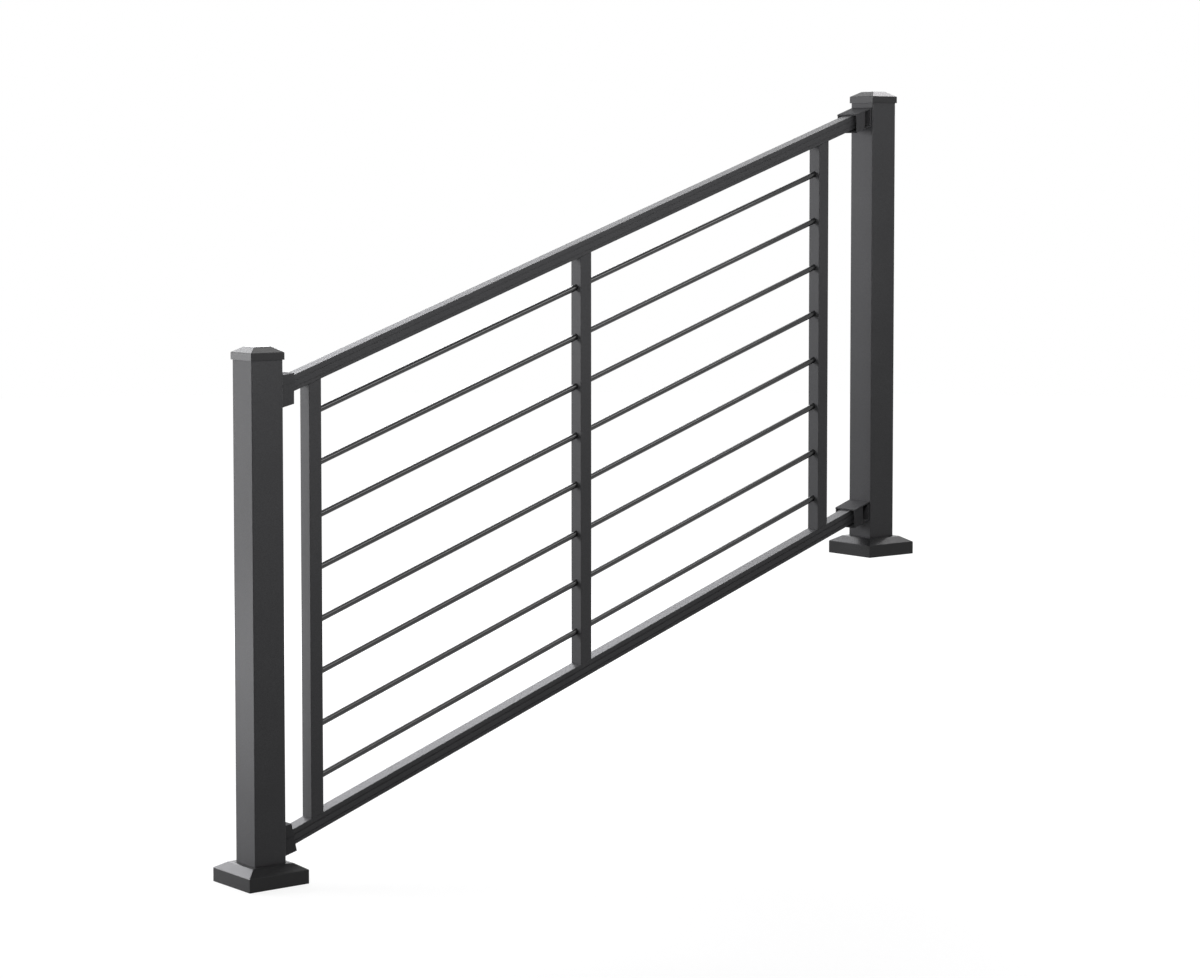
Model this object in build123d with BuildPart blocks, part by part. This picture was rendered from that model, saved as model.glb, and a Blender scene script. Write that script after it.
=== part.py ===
"""Aluminium stair railing: two square posts on bolted base plates, and between them a sloping panel of two
rails, three uprights and eight round rods, held to the posts by four collar brackets.

The frame: X runs from the lower post to the upper one, Y is across the railing, Z is up. The origin is the
centre of the lower base plate's underside. Millimetres.
"""

import os
from math import atan2, cos, degrees, radians, sin, tan

from build123d import *

# The panel's slope, the posts' distance, and how much higher the rails meet the upper post than the lower
SLOPE = 19.44
RUN = 1471.0
UPPER_LIFT = 50.2

# Heights at the lower post's axis: the bottom rail's centre line over the ground, the top rail's over it, and
# the post's end over that
BOTTOM_RAIL_HEIGHT = 53.9
RAIL_DISTANCE = 799.7
POST_OVER_RAIL = 76.9

# Posts
POST_SIZE = 63.5
POST_WALL = 3.0
POST_CORNER = 2.0

# Base plates, bolted down
PLATE_MARGIN = 21.25
PLATE_THICKNESS = 10.0
PLATE_CHAMFER = 6.0
BOLT_EDGE = 11.0
BOLT_HOLE = 11.0

# Base covers: an upright skirt, four slopes and a level ledge round the post
COVER_ROOM = 6.0
COVER_WALL = 2.0
COVER_SKIRT = 24.5
COVER_RISE = 11.5
COVER_LEDGE = 9.0
COVER_EDGE = 0.8

# Post caps: a skirt round the post's head, four slopes and a flat top
CAP_WALL = 2.0
CAP_SKIRT = 13.0
CAP_LAP = 11.0
CAP_RISE = 10.0
CAP_INSET = 17.0
CAP_EDGE = 0.6

# Clearance of covers, caps, rods and rail ends on what they fit over or into
FIT = 0.3

# Rails: hollow extrusions with two grooves along each side
RAIL_WIDTH = 30.0
RAIL_HEIGHT = 27.0
RAIL_WALL = 2.4
RAIL_CORNER = 1.2
GROOVE_WIDTH = 2.0
GROOVE_DEPTH = 1.2
UPPER_GROOVE = 4.5
LOWER_GROOVE = -6.5

# Uprights: tubes as deep as the rails, cut to the slope at both ends, and the outer ones' distance from the
# posts' faces
UPRIGHT_WIDTH = 25.4
UPRIGHT_WALL = 1.8
UPRIGHT_CORNER = 1.2
UPRIGHT_COUNT = 3
LOWER_BAY = 77.25
UPPER_BAY = 117.25

# Rods, and the outer ones' distance from the rails' centre lines
ROD_COUNT = 8
ROD_DIAMETER = 11.0
TOP_ROD_GAP = 71.7
BOTTOM_ROD_GAP = 76.3

# Collar brackets: a hood over a box that is open towards the panel, a back plate, and a tongue for the rail
COLLAR_WIDTH = 56.0
COLLAR_WALL = 2.0
HOOD_THICKNESS = 2.4
HOOD_LIP = 1.0
BACK_PLATE = 3.0
BACK_PLATE_WIDTH = 54.0
RAIL_END_GAP = 9.5
TONGUE_LENGTH = 42.0

# Each collar's reach from the post, how far its mouth stands above and below the rail, the hood's depth, the
# pitch of its roof and floor, the mouth's lean from plumb, the open neck between the box and the post, and the
# radius of the box's edges there
LOWER_TOP_COLLAR = {
    "reach": 25.0, "above": 8.5, "below": 18.0, "hood": 17.2,
    "roof_pitch": 7.5, "floor_pitch": 13.5, "lean": 0.0, "neck": 0.0, "corner": 0.0,
}
LOWER_BOTTOM_COLLAR = {
    "reach": 20.5, "above": 18.0, "below": 6.3, "hood": 22.5,
    "roof_pitch": 9.0, "floor_pitch": 15.0, "lean": 13.0, "neck": 0.0, "corner": 0.0,
}
UPPER_COLLAR = {
    "reach": 41.0, "above": 3.0, "below": 5.5, "hood": HOOD_THICKNESS,
    "roof_pitch": SLOPE, "floor_pitch": SLOPE, "lean": 0.0, "neck": 10.0, "corner": 13.0,
}

# Worked out from the values above
along = Vector(cos(radians(SLOPE)), 0, sin(radians(SLOPE)))
square_up = Vector(-sin(radians(SLOPE)), 0, cos(radians(SLOPE)))
steepness = tan(radians(SLOPE))
top_rail_height = BOTTOM_RAIL_HEIGHT + RAIL_DISTANCE
post_top = top_rail_height + POST_OVER_RAIL
lower_foot = Vector(0, 0, 0)
upper_foot = Vector(RUN, 0, RUN * steepness - UPPER_LIFT)
lower_face = POST_SIZE / 2
upper_face = RUN - POST_SIZE / 2
post_opening = POST_SIZE + 2 * FIT
plate_size = POST_SIZE + 2 * PLATE_MARGIN
cover_size = plate_size + 2 * (COVER_ROOM + COVER_WALL)
cap_size = post_opening + 2 * CAP_WALL
first_upright = lower_face + LOWER_BAY
upright_pitch = (upper_face - UPPER_BAY - first_upright) / (UPRIGHT_COUNT - 1)
uprights = [first_upright + n * upright_pitch for n in range(UPRIGHT_COUNT)]
rod_pitch = (RAIL_DISTANCE - TOP_ROD_GAP - BOTTOM_ROD_GAP) / (ROD_COUNT - 1)
rods = [top_rail_height - TOP_ROD_GAP - n * rod_pitch for n in range(ROD_COUNT)]


def save(piece, name):
    """Labels a finished piece and writes its STEP file."""
    piece.part.label = name
    export_step(piece.part, f"parts/{name}.step")


def level(foot, height):
    """A level plane at this height over a post's foot, centred on the post."""
    return Plane(origin=foot + Vector(0, 0, height))


def on_slope(x, height):
    """The point at x on the line that leaves the lower post's axis at this height and climbs the slope."""
    return Vector(x, 0, height + x * steepness)


def pitched_plane(x, height, distance, pitch=SLOPE):
    """A plane that climbs at this pitch, this distance square above such a line at x, its normal pointing up."""
    normal = (-sin(radians(pitch)), 0, cos(radians(pitch)))
    return Plane(origin=on_slope(x, height) + square_up * distance, z_dir=normal)


def cross_plane(x, height, direction=1):
    """A plane square to such a line: its x runs across the railing, its normal up the slope or down it."""
    return Plane(origin=on_slope(x, height), x_dir=(0, 1, 0), z_dir=along * direction)


def make_base_plate(foot, name):
    """A plate with four bolt holes outside the post."""
    spacing = plate_size - 2 * BOLT_EDGE
    with BuildPart() as plate:
        with BuildSketch(level(foot, 0)) as outline:
            Rectangle(plate_size, plate_size)
            chamfer(outline.vertices(), length=PLATE_CHAMFER)
            with GridLocations(spacing, spacing, 2, 2):
                Circle(BOLT_HOLE / 2, mode=Mode.SUBTRACT)
        extrude(amount=PLATE_THICKNESS)
    save(plate, name)


def make_post(foot, name):
    """A square tube standing on its base plate."""
    inside = POST_SIZE - 2 * POST_WALL
    with BuildPart() as post:
        with BuildSketch(level(foot, PLATE_THICKNESS)):
            RectangleRounded(POST_SIZE, POST_SIZE, POST_CORNER)
            Rectangle(inside, inside, mode=Mode.SUBTRACT)
        extrude(amount=post_top - PLATE_THICKNESS)
    save(post, name)


def hipped_block(foot, height, size, skirt, rise, inset, edge=0):
    """A block with upright sides and four slopes above them, its edges broken where edge is given."""
    with BuildPart() as block:
        with BuildSketch(level(foot, height)):
            Rectangle(size, size)
        extrude(amount=skirt)
        with BuildSketch(level(foot, height + skirt)):
            Rectangle(size, size)
        extrude(amount=rise, taper=degrees(atan2(inset, rise)))
        if edge:
            standing = block.edges().filter_by(lambda line: line.center().Z > foot.Z + height)
            chamfer(standing, length=edge)
    return block.part


def make_base_cover(foot, name):
    """A hollow cover over the base plate, open below, that the post passes through."""
    inset = (cover_size - post_opening) / 2 - COVER_LEDGE
    inside = cover_size - 2 * COVER_WALL
    shell = hipped_block(foot, 0, cover_size, COVER_SKIRT, COVER_RISE, inset, COVER_EDGE)
    hollow = hipped_block(foot, 0, inside, COVER_SKIRT - COVER_WALL / 2, COVER_RISE - COVER_WALL / 2, inset)
    with BuildPart() as cover:
        add(shell)
        add(hollow, mode=Mode.SUBTRACT)
        with BuildSketch(level(foot, 0)):
            RectangleRounded(post_opening, post_opening, POST_CORNER)
        extrude(amount=COVER_SKIRT + COVER_RISE, mode=Mode.SUBTRACT)
    save(cover, name)


def make_cap(foot, name):
    """A cap that rests on the post's end, with a skirt round it."""
    rim = post_top - CAP_LAP
    block = hipped_block(foot, rim, cap_size, CAP_SKIRT, CAP_RISE, CAP_INSET, CAP_EDGE)
    with BuildPart() as cap:
        add(block)
        with BuildSketch(level(foot, rim)):
            RectangleRounded(post_opening, post_opening, POST_CORNER)
        extrude(amount=CAP_LAP, mode=Mode.SUBTRACT)
    save(cap, name)


def make_rail(height, name):
    """A hollow rail from collar to collar, cut square."""
    start = lower_face + BACK_PLATE + RAIL_END_GAP
    end = upper_face - UPPER_COLLAR["neck"] - COLLAR_WALL - RAIL_END_GAP
    side = RAIL_WIDTH / 2
    grooves = [(y, z) for y in (-side, side) for z in (UPPER_GROOVE, LOWER_GROOVE)]
    with BuildPart() as rail:
        with BuildSketch(cross_plane(start, height)):
            RectangleRounded(RAIL_WIDTH, RAIL_HEIGHT, RAIL_CORNER)
            Rectangle(RAIL_WIDTH - 2 * RAIL_WALL, RAIL_HEIGHT - 2 * RAIL_WALL, mode=Mode.SUBTRACT)
            with Locations(grooves):
                Rectangle(2 * GROOVE_DEPTH, GROOVE_WIDTH, mode=Mode.SUBTRACT)
        extrude(amount=(end - start) / along.X)
    save(rail, name)


def make_upright(x, sides, name):
    """A tube from rail to rail, with rod holes in its walls up the slope (1) or down it (-1)."""
    with BuildPart() as upright:
        with BuildSketch(Plane(origin=on_slope(x, BOTTOM_RAIL_HEIGHT))):
            RectangleRounded(UPRIGHT_WIDTH, RAIL_WIDTH, UPRIGHT_CORNER)
            Rectangle(UPRIGHT_WIDTH - 2 * UPRIGHT_WALL, RAIL_WIDTH - 2 * UPRIGHT_WALL, mode=Mode.SUBTRACT)
        extrude(amount=RAIL_DISTANCE)
        split(bisect_by=pitched_plane(x, top_rail_height, -RAIL_HEIGHT / 2), keep=Keep.BOTTOM)
        split(bisect_by=pitched_plane(x, BOTTOM_RAIL_HEIGHT, RAIL_HEIGHT / 2), keep=Keep.TOP)
        for height in rods:
            for side in sides:
                with BuildSketch(cross_plane(x, height, side)):
                    Circle(ROD_DIAMETER / 2 + FIT)
                extrude(amount=UPRIGHT_WIDTH, mode=Mode.SUBTRACT)
    save(upright, name)


def make_rod(height, name):
    """A round rod through the middle upright that ends inside the outer two."""
    first, last = uprights[0], uprights[-1]
    with BuildPart() as rod:
        with BuildSketch(cross_plane(first, height)):
            Circle(ROD_DIAMETER / 2)
        extrude(amount=(last - first) / along.X)
    save(rod, name)


def collar_block(near, far, width, floor, roof, corner=0):
    """A block from near the post to far from it, between two pitched planes. Its upright edges on the near side
    are rounded where corner is given."""
    spare = abs(far - near) + width
    bottom, top = floor.origin.Z - spare, roof.origin.Z + spare
    with BuildPart() as block:
        with BuildSketch(Plane.XY.offset(bottom)) as plan:
            with Locations(((near + far) / 2, 0)):
                Rectangle(abs(far - near), width)
            if corner > 0:
                fillet(plan.vertices().sort_by(Axis.X, reverse=near > far)[:2], radius=corner)
        extrude(amount=top - bottom)
        split(bisect_by=roof, keep=Keep.BOTTOM)
        split(bisect_by=floor, keep=Keep.TOP)
    return block.part


def make_bracket(height, face, outwards, collar, name):
    """A box round a rail's end, a hood and a sole that reach the post, a back plate, and a tongue inside the
    rail."""
    back = face + outwards * collar["neck"]
    mouth = face + outwards * collar["reach"]
    past = face + outwards * 2 * collar["reach"]
    roof = pitched_plane(mouth, height, RAIL_HEIGHT / 2 + collar["above"], collar["roof_pitch"])
    floor = pitched_plane(mouth, height, -RAIL_HEIGHT / 2 - collar["below"], collar["floor_pitch"])
    ceiling = roof.offset(-HOOD_THICKNESS)
    ground = floor.offset(COLLAR_WALL)
    inner_width = COLLAR_WIDTH - 2 * COLLAR_WALL
    inner_corner = collar["corner"] - COLLAR_WALL
    box = collar_block(back, past, COLLAR_WIDTH, floor, roof, collar["corner"])
    hood = collar_block(face, past, COLLAR_WIDTH + 2 * HOOD_LIP, roof.offset(-collar["hood"]), roof)
    sole = collar_block(face, past, COLLAR_WIDTH, floor, ground)
    hollow = collar_block(back + outwards * COLLAR_WALL, past, inner_width, ground, ceiling, inner_corner)
    plate = collar_block(face, face + outwards * BACK_PLATE, BACK_PLATE_WIDTH, floor, roof)
    lean = radians(collar["lean"])
    opening = Plane(origin=on_slope(mouth, height), z_dir=(outwards * cos(lean), 0, sin(lean)))
    with BuildPart() as bracket:
        add(box)
        add(hood)
        add(sole)
        add(hollow, mode=Mode.SUBTRACT)
        split(bisect_by=opening, keep=Keep.BOTTOM)
        add(plate)
        with BuildSketch(cross_plane(face, height, outwards)):
            Rectangle(RAIL_WIDTH - 2 * (RAIL_WALL + FIT), RAIL_HEIGHT - 2 * (RAIL_WALL + FIT))
        extrude(amount=TONGUE_LENGTH)
        split(bisect_by=Plane(origin=(face, 0, 0), z_dir=(outwards, 0, 0)), keep=Keep.TOP)
    save(bracket, name)


os.makedirs("parts", exist_ok=True)
for foot, place in [(lower_foot, "lower"), (upper_foot, "upper")]:
    make_base_plate(foot, f"{place}_base_plate")
    make_post(foot, f"{place}_post")
    make_base_cover(foot, f"{place}_base_cover")
    make_cap(foot, f"{place}_post_cap")
for height, place in [(top_rail_height, "top"), (BOTTOM_RAIL_HEIGHT, "bottom")]:
    make_rail(height, f"{place}_rail")
for x, sides, place in zip(uprights, [(1,), (1, -1), (-1,)], ["lower", "middle", "upper"]):
    make_upright(x, sides, f"{place}_upright")
for number, height in enumerate(rods, start=1):
    make_rod(height, f"rod_{number}")
make_bracket(top_rail_height, lower_face, 1, LOWER_TOP_COLLAR, "lower_top_bracket")
make_bracket(BOTTOM_RAIL_HEIGHT, lower_face, 1, LOWER_BOTTOM_COLLAR, "lower_bottom_bracket")
make_bracket(top_rail_height, upper_face, -1, UPPER_COLLAR, "upper_top_bracket")
make_bracket(BOTTOM_RAIL_HEIGHT, upper_face, -1, UPPER_COLLAR, "upper_bottom_bracket")
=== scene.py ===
"""The looks of an aluminium stair railing: charcoal powder coat on every piece, the set screws under the
brackets, a white floor, soft lamps and a camera at the photograph's angle. Metres."""

from math import atan2, cos, pi, radians

import bmesh
import bpy
from mathutils import Matrix, Vector
from mathutils.bvhtree import BVHTree


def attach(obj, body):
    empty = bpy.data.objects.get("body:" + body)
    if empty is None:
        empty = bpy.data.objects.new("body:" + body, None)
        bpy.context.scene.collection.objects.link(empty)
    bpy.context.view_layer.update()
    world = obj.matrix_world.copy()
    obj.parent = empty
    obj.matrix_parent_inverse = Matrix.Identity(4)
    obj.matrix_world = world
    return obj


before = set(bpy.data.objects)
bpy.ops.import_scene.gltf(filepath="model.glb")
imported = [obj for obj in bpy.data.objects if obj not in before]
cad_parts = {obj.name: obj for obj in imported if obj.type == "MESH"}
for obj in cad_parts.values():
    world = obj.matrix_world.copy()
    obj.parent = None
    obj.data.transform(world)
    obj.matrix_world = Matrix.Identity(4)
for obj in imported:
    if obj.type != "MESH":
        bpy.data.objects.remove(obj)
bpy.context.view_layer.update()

# Camera, for an image 1200 pixels wide
IMAGE_WIDTH = 1200
FOCAL_PIXELS = 2989.1
SENSOR_WIDTH = 36.0
CAMERA_PLACE = (-2.7635, -4.4272, 1.2201)
CAMERA_YAW = 38.52
CAMERA_PITCH = 3.5
CAMERA_SHIFT = -0.1

# The rails' slope, in degrees
SLOPE = 19.44

# The lamps' colours
WHITE = (1.0, 1.0, 1.0)
ROSY = (1.0, 0.98, 1.0)
COOL = (0.98, 0.98, 1.0)
COOLER = (0.97, 0.97, 1.0)
COOLEST = (0.95, 0.95, 1.0)

# Lamps: place, the point they face, roll in degrees, width, height, power in watts and colour
LAMPS = {
    "left_softbox": ((-1.75, 2.4, 1.22), (0.3, 0.0, 0.75), 0.0, 1.5, 1.26, 43.0, COOL),
    "near_left_softbox": ((-0.75, 0.6, 0.2), (0.0, 0.0, 0.15), 0.0, 0.5, 0.4, 5.0, COOL),
    "side_strip": ((-0.6, 0.85, 0.48), (0.05, 0.0, 0.4), 0.0, 0.4, 0.66, 2.4, COOL),
    "back_softbox": ((1.4, 3.0, 2.15), (0.7, 0.0, 0.7), 0.0, 5.2, 1.5, 67.0, COOLER),
    "low_softbox": ((1.0, 2.9, 1.6), (0.6, 0.0, 0.5), 0.0, 3.6, 0.8, 48.0, COOLEST),
    "cap_softbox": ((0.65, 2.9, 2.75), (0.0, 0.0, 0.93), 0.0, 1.0, 0.5, 3.0, WHITE),
    "right_softbox": ((4.5, 1.75, 4.25), (1.4, 0.0, 1.3), 0.0, 1.3, 1.1, 31.0, ROSY),
    "far_softbox": ((3.9, 0.9, 1.2), (1.1, 0.0, 0.8), 0.0, 1.8, 1.5, 24.0, WHITE),
    "top_softbox": ((1.5, 0.6, 2.45), (0.0, 0.0, 0.3), 0.0, 1.2, 0.8, 6.0, WHITE),
    "front_strip": ((0.5, -0.85, 1.36), (0.56, 0.0, 0.9), SLOPE, 2.4, 0.3, 10.8, WHITE),
}
FILL_STRENGTH = 0.1
BACKDROP_STRENGTH = 1.0

# Floor: it glows where it is seen, and between two distances from the lower post's foot the glow grows to the
# backdrop's white
FLOOR_RADIUS = 12.0
FLOOR_SIDES = 96
FLOOR_CENTRE = 0.7
FLOOR_DROP = 0.0005
FLOOR_GREY = 0.22
FLOOR_GLOW = 0.84
GLOW_START = 0.9
GLOW_END = 2.2

# Powder coats: deep and pale tone, roughness where dull and where glossy, grain size and depth, and
# specular level. Satin is the coat's own colour; the rod, cap, cover and bracket coats are copies of it whose
# tones carry painted shade or painted light
FINISHES = {
    "satin": ((0.044, 0.044, 0.046), (0.07, 0.07, 0.073), 0.44, 0.4, 0.0012, 0.00001, 0.14),
    # rod: glossier than satin, and its darker tone is painted shade for the rods' dark lower sides
    "rod": ((0.01, 0.01, 0.011), (0.018, 0.018, 0.019), 0.18, 0.14, 0.0009, 0.00001, 0.55),
    # cap: the satin coat with a darker tone, painted shade on the post caps
    "cap": ((0.03, 0.03, 0.031), (0.048, 0.048, 0.05), 0.3, 0.24, 0.001, 0.00001, 0.16),
    # cover: darker still, painted shade on the base covers low on the posts
    "cover": ((0.02, 0.02, 0.021), (0.032, 0.032, 0.033), 0.3, 0.24, 0.001, 0.00001, 0.16),
    # bracket: the satin coat with a paler tone, painted light on the bracket fronts, and a specular level
    # nearly off that keeps the hood tops dark
    "bracket": ((0.052, 0.052, 0.054), (0.084, 0.084, 0.087), 0.6, 0.52, 0.0012, 0.00002, 0.02),
    "plate": ((0.04, 0.04, 0.042), (0.06, 0.06, 0.063), 0.58, 0.5, 0.0012, 0.00002, 0.3),
}

# The mark in a piece's name for each coat but satin; the rod, cap, cover and bracket coats carry painted
# shade or painted light in their tones
WEARERS = {"rod_": "rod", "_cap": "cap", "_cover": "cover", "_bracket": "bracket", "_plate": "plate"}

# The coats' noises: the pigment's clouds in a metre, the orange peel's bumps to each grain, the detail of
# each, and the middle range of a noise, which is spread out
CLOUD_SCALE = 9.0
CLOUD_DETAIL = 4.0
SPECKLE_DETAIL = 2.0
PEEL_PER_GRAIN = 0.2
PEEL_DETAIL = 1.0
NOISE_LOW = 0.3
NOISE_HIGH = 0.7

# The least share of the pale tone that clouds and speckle leave, the bumps' strength, and the orange peel's
# depth in grain depths
CLOUD_LEAST = 0.55
SPECKLE_LEAST = 0.1
BUMP_STRENGTH = 0.1
PEEL_DEPTHS = 3

# Set screws: the distance from the post at which one sits under each bracket
SCREW_REACHES = {"lower_top": 0.0125, "lower_bottom": 0.0095, "upper_top": 0.026, "upper_bottom": 0.026}
SCREW_RADIUS = 0.0042
SCREW_HEIGHT = 0.0024
SCREW_SIDES = 24
SCREW_EDGE = 0.0008
SCREW_EDGE_STEPS = 3
SCREW_SINK = 0.0002
SOCKET_RADIUS = 0.0022
SOCKET_DEPTH = 0.0014
SOCKET_SECTOR = pi / 3


def link(thing):
    """Puts an object into the scene."""
    bpy.context.scene.collection.objects.link(thing)
    return thing


def make_camera():
    """The camera at the photograph's place."""
    lens = bpy.data.cameras.new("camera")
    lens.sensor_width = SENSOR_WIDTH
    lens.lens = FOCAL_PIXELS * SENSOR_WIDTH / IMAGE_WIDTH
    lens.shift_y = CAMERA_SHIFT
    camera = link(bpy.data.objects.new("camera", lens))
    camera.location = CAMERA_PLACE
    camera.rotation_euler = (radians(90 - CAMERA_PITCH), 0, -radians(CAMERA_YAW))
    bpy.context.scene.camera = camera


def make_lamp(name, place, target, roll, width, height, power, colour):
    """A rectangular softbox that faces a point, turned by its roll."""
    lamp = bpy.data.lights.new(name, "AREA")
    lamp.shape = "RECTANGLE"
    lamp.size = width
    lamp.size_y = height
    lamp.energy = power
    lamp.color = colour
    box = link(bpy.data.objects.new(name, lamp))
    box.location = place
    aim = (Vector(target) - Vector(place)).to_track_quat("-Z", "Y").to_matrix()
    box.rotation_euler = (aim @ Matrix.Rotation(radians(roll), 3, "Z")).to_euler()
    box.visible_camera = False


def seen_directly(tree):
    """1 for rays from the camera and for reflected or transmitted ones, 0 for the rest."""
    path = tree.nodes.new("ShaderNodeLightPath")
    total = path.outputs["Is Camera Ray"]
    for kind in ("Is Glossy Ray", "Is Transmission Ray"):
        either = tree.nodes.new("ShaderNodeMath")
        either.operation = "MAXIMUM"
        tree.links.new(total, either.inputs[0])
        tree.links.new(path.outputs[kind], either.inputs[1])
        total = either.outputs[0]
    return total


def make_backdrop():
    """A white surround where it is seen, and a dimmer one as light."""
    world = bpy.data.worlds.new("backdrop")
    world.use_nodes = True
    bpy.context.scene.world = world
    tree = world.node_tree
    fill = tree.nodes["Background"]
    fill.inputs["Color"].default_value = (1, 1, 1, 1)
    fill.inputs["Strength"].default_value = FILL_STRENGTH
    white = tree.nodes.new("ShaderNodeBackground")
    white.inputs["Color"].default_value = (1, 1, 1, 1)
    white.inputs["Strength"].default_value = BACKDROP_STRENGTH
    choice = tree.nodes.new("ShaderNodeMixShader")
    tree.links.new(seen_directly(tree), choice.inputs[0])
    tree.links.new(fill.outputs[0], choice.inputs[1])
    tree.links.new(white.outputs[0], choice.inputs[2])
    tree.links.new(choice.outputs[0], tree.nodes["World Output"].inputs["Surface"])


def floor_material():
    """Matt grey that also glows where it is seen, more so away from the lower post."""
    material = bpy.data.materials.new("floor_white")
    material.use_nodes = True
    tree = material.node_tree
    tree.nodes.remove(tree.nodes["Principled BSDF"])
    matt = tree.nodes.new("ShaderNodeBsdfDiffuse")
    matt.inputs["Color"].default_value = (FLOOR_GREY, FLOOR_GREY, FLOOR_GREY, 1)
    place = tree.nodes.new("ShaderNodeTexCoord").outputs["Object"]
    away = tree.nodes.new("ShaderNodeVectorMath")
    away.operation = "LENGTH"
    tree.links.new(place, away.inputs[0])
    growth = tree.nodes.new("ShaderNodeMapRange")
    growth.interpolation_type = "SMOOTHSTEP"
    growth.inputs["From Min"].default_value = GLOW_START
    growth.inputs["From Max"].default_value = GLOW_END
    growth.inputs["To Min"].default_value = FLOOR_GLOW
    growth.inputs["To Max"].default_value = BACKDROP_STRENGTH
    tree.links.new(away.outputs["Value"], growth.inputs["Value"])
    strength = tree.nodes.new("ShaderNodeMath")
    strength.operation = "MULTIPLY"
    tree.links.new(seen_directly(tree), strength.inputs[0])
    tree.links.new(growth.outputs["Result"], strength.inputs[1])
    glow = tree.nodes.new("ShaderNodeEmission")
    tree.links.new(strength.outputs[0], glow.inputs["Strength"])
    both = tree.nodes.new("ShaderNodeAddShader")
    tree.links.new(matt.outputs[0], both.inputs[0])
    tree.links.new(glow.outputs[0], both.inputs[1])
    tree.links.new(both.outputs[0], tree.nodes["Material Output"].inputs["Surface"])
    return material


def make_floor():
    """A white floor that keeps the railing's shadow."""
    shape = bmesh.new()
    bmesh.ops.create_circle(shape, cap_ends=True, segments=FLOOR_SIDES, radius=FLOOR_RADIUS)
    bmesh.ops.translate(shape, verts=shape.verts, vec=(FLOOR_CENTRE, 0, -FLOOR_DROP))
    mesh = bpy.data.meshes.new("floor")
    shape.to_mesh(mesh)
    shape.free()
    mesh.materials.append(floor_material())
    link(bpy.data.objects.new("floor", mesh))


def noise(tree, place, scale, detail):
    """A noise of about this many features in a metre."""
    grain = tree.nodes.new("ShaderNodeTexNoise")
    grain.inputs["Scale"].default_value = scale
    grain.inputs["Detail"].default_value = detail
    tree.links.new(place, grain.inputs["Vector"])
    return grain.outputs["Fac"]


def spread(tree, value, low, high):
    """A noise's middle range spread over a range of values."""
    limits = tree.nodes.new("ShaderNodeMapRange")
    limits.inputs["From Min"].default_value = NOISE_LOW
    limits.inputs["From Max"].default_value = NOISE_HIGH
    limits.inputs["To Min"].default_value = low
    limits.inputs["To Max"].default_value = high
    tree.links.new(value, limits.inputs["Value"])
    return limits.outputs["Result"]


def bump(tree, height, depth):
    """A bump this deep, made from a noise."""
    relief = tree.nodes.new("ShaderNodeBump")
    relief.inputs["Strength"].default_value = BUMP_STRENGTH
    relief.inputs["Distance"].default_value = depth
    tree.links.new(height, relief.inputs["Height"])
    return relief


def powder_coat(name, deep, pale, dull, glossy, grain_size, grain_depth, specular):
    """A baked powder coat: cloudy pigment, fine speckle, and an orange-peel skin with a finer grain on it."""
    material = bpy.data.materials.new(name)
    material.use_nodes = True
    tree = material.node_tree
    coat = tree.nodes["Principled BSDF"]
    place = tree.nodes.new("ShaderNodeTexCoord").outputs["Object"]
    clouds = noise(tree, place, CLOUD_SCALE, CLOUD_DETAIL)
    speckle = noise(tree, place, 1 / grain_size, SPECKLE_DETAIL)
    peel = noise(tree, place, PEEL_PER_GRAIN / grain_size, PEEL_DETAIL)
    tones = tree.nodes.new("ShaderNodeMath")
    tones.operation = "MULTIPLY"
    tree.links.new(spread(tree, clouds, CLOUD_LEAST, 1), tones.inputs[0])
    tree.links.new(spread(tree, speckle, SPECKLE_LEAST, 1), tones.inputs[1])
    pigment = tree.nodes.new("ShaderNodeMix")
    pigment.data_type = "RGBA"
    pigment.inputs["A"].default_value = (*deep, 1)
    pigment.inputs["B"].default_value = (*pale, 1)
    tree.links.new(tones.outputs[0], pigment.inputs["Factor"])
    tree.links.new(pigment.outputs["Result"], coat.inputs["Base Color"])
    tree.links.new(spread(tree, speckle, glossy, dull), coat.inputs["Roughness"])
    coat.inputs["Specular IOR Level"].default_value = specular
    skin = bump(tree, peel, PEEL_DEPTHS * grain_depth)
    grit = bump(tree, speckle, grain_depth)
    tree.links.new(skin.outputs["Normal"], grit.inputs["Normal"])
    tree.links.new(grit.outputs["Normal"], coat.inputs["Normal"])
    return material


def finish_of(name):
    """The powder coat that a piece wears: satin unless its name says otherwise; the rod, cap, cover and
    bracket coats carry painted shade or painted light in their tones.
    """
    for mark, finish in WEARERS.items():
        if name.startswith(mark) or name.endswith(mark):
            return finish
    return "satin"


def screw_seat(place, reach):
    """The point under a bracket at this distance from its post, and the pitch of the underside there."""
    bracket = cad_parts[f"{place}_bracket"]
    corners = [bracket.matrix_world @ corner.co for corner in bracket.data.vertices]
    lengthwise = [corner.x for corner in corners]
    x = min(lengthwise) + reach if place.startswith("lower") else max(lengthwise) - reach
    surface = BVHTree.FromPolygons(corners, [face.vertices for face in bracket.data.polygons])
    seat, normal, _, _ = surface.ray_cast(Vector((x, 0, 0)), Vector((0, 0, 1)))
    return seat, atan2(normal.x, -normal.z)


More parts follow.
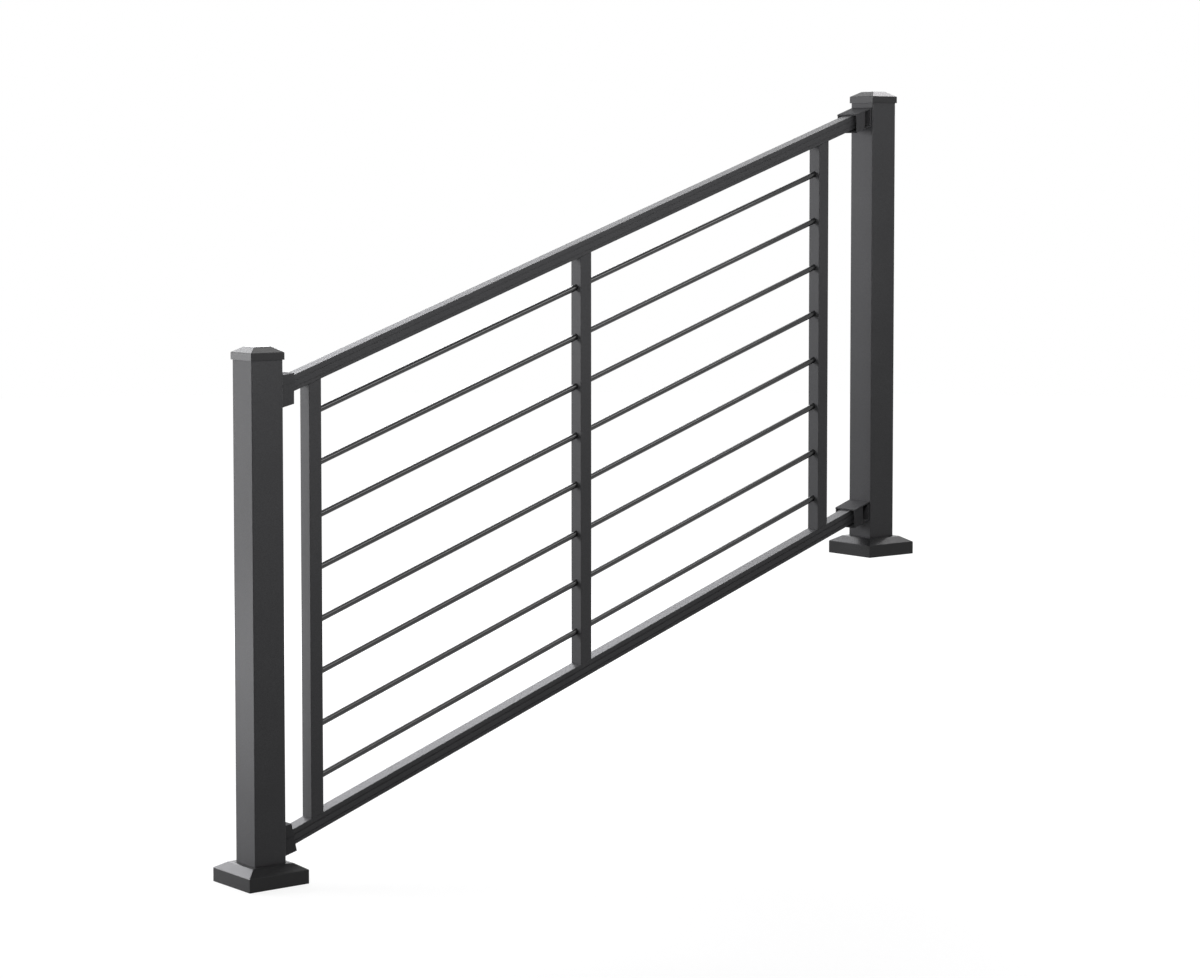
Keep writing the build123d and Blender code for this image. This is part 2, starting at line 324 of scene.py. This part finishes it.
def make_set_screw(place, reach, material):
    """A button-head screw with a hexagon socket, under a bracket."""
    name = f"{place}_screw"
    seat, pitch = screw_seat(place, reach)
    shape = bmesh.new()
    bmesh.ops.create_cone(shape, cap_ends=True, segments=SCREW_SIDES, radius1=SCREW_RADIUS,
                          radius2=SCREW_RADIUS, depth=SCREW_HEIGHT)
    crown = max(shape.faces, key=lambda face: face.calc_center_median().z)
    bmesh.ops.bevel(shape, geom=list(crown.edges), offset=SCREW_EDGE, segments=SCREW_EDGE_STEPS, profile=0.5,
                    affect="EDGES", material=-1)
    crown = max(shape.faces, key=lambda face: (round(face.calc_center_median().z, 6), face.calc_area()))
    bmesh.ops.inset_region(shape, faces=[crown], thickness=SCREW_RADIUS - SCREW_EDGE - SOCKET_RADIUS)
    for corner in crown.verts:
        turn = atan2(corner.co.y, corner.co.x) % SOCKET_SECTOR - SOCKET_SECTOR / 2
        corner.co.xy = corner.co.xy.normalized() * SOCKET_RADIUS * cos(SOCKET_SECTOR / 2) / cos(turn)
    well = bmesh.ops.extrude_discrete_faces(shape, faces=[crown])["faces"][0]
    bmesh.ops.translate(shape, verts=well.verts, vec=(0, 0, -SOCKET_DEPTH))
    bmesh.ops.translate(shape, verts=shape.verts, vec=(0, 0, SCREW_HEIGHT / 2 - SCREW_SINK))
    bmesh.ops.rotate(shape, verts=shape.verts, matrix=Matrix.Rotation(pi - pitch, 3, "Y"))
    bmesh.ops.translate(shape, verts=shape.verts, vec=seat)
    bmesh.ops.recalc_face_normals(shape, faces=shape.faces)
    mesh = bpy.data.meshes.new(name)
    shape.to_mesh(mesh)
    shape.free()
    mesh.materials.append(material)
    screw = link(bpy.data.objects.new(name, mesh))
    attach(screw, "root")


bpy.context.scene.view_settings.view_transform = "Standard"
make_camera()
for lamp_name, settings in LAMPS.items():
    make_lamp(lamp_name, *settings)
make_backdrop()
make_floor()

coats = {name: powder_coat(f"{name}_powder_coat", *values) for name, values in FINISHES.items()}
# Each piece gets its coat; on rods, caps, covers and brackets the tone is painted shade or painted light
for node_name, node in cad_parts.items():
    node.data.materials.clear()
    node.data.materials.append(coats[finish_of(node_name)])
# The set screws wear the rod coat, with its darker tone of painted shade
for bracket_place, screw_reach in SCREW_REACHES.items():
    make_set_screw(bracket_place, screw_reach, coats["rod"])
